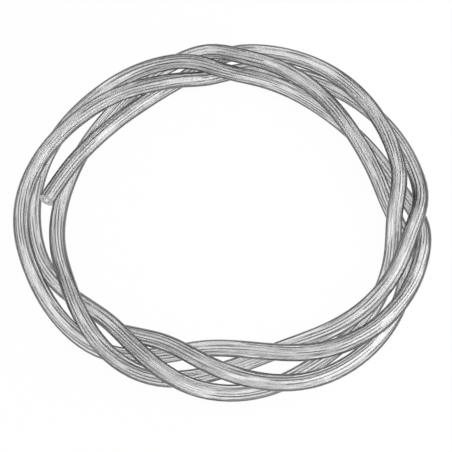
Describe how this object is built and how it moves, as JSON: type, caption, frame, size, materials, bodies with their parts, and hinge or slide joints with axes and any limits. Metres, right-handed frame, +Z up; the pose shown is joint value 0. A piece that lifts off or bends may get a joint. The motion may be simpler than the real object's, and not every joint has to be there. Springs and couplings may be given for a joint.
{
  "type": "coil of clear vinyl tubing",
  "caption": "Loose coil of clear thick-walled vinyl hose, its turns twisted round each other like a wreath, with square-cut open ends.",
  "frame": {"origin": "middle of the coil's footprint, on the surface that it lies on", "axes": "+X along the coil's longest extent, +Z up out of that surface"},
  "size_m": [0.2808, 0.2738, 0.0278],
  "materials": {
    "clear_vinyl": "clear, soft, smooth and glossy"
  },
  "bodies": {
    "root": {"coiled_run": "clear_vinyl", "tucked_end": "clear_vinyl", "free_end": "clear_vinyl"}
  },
  "joints": []
}
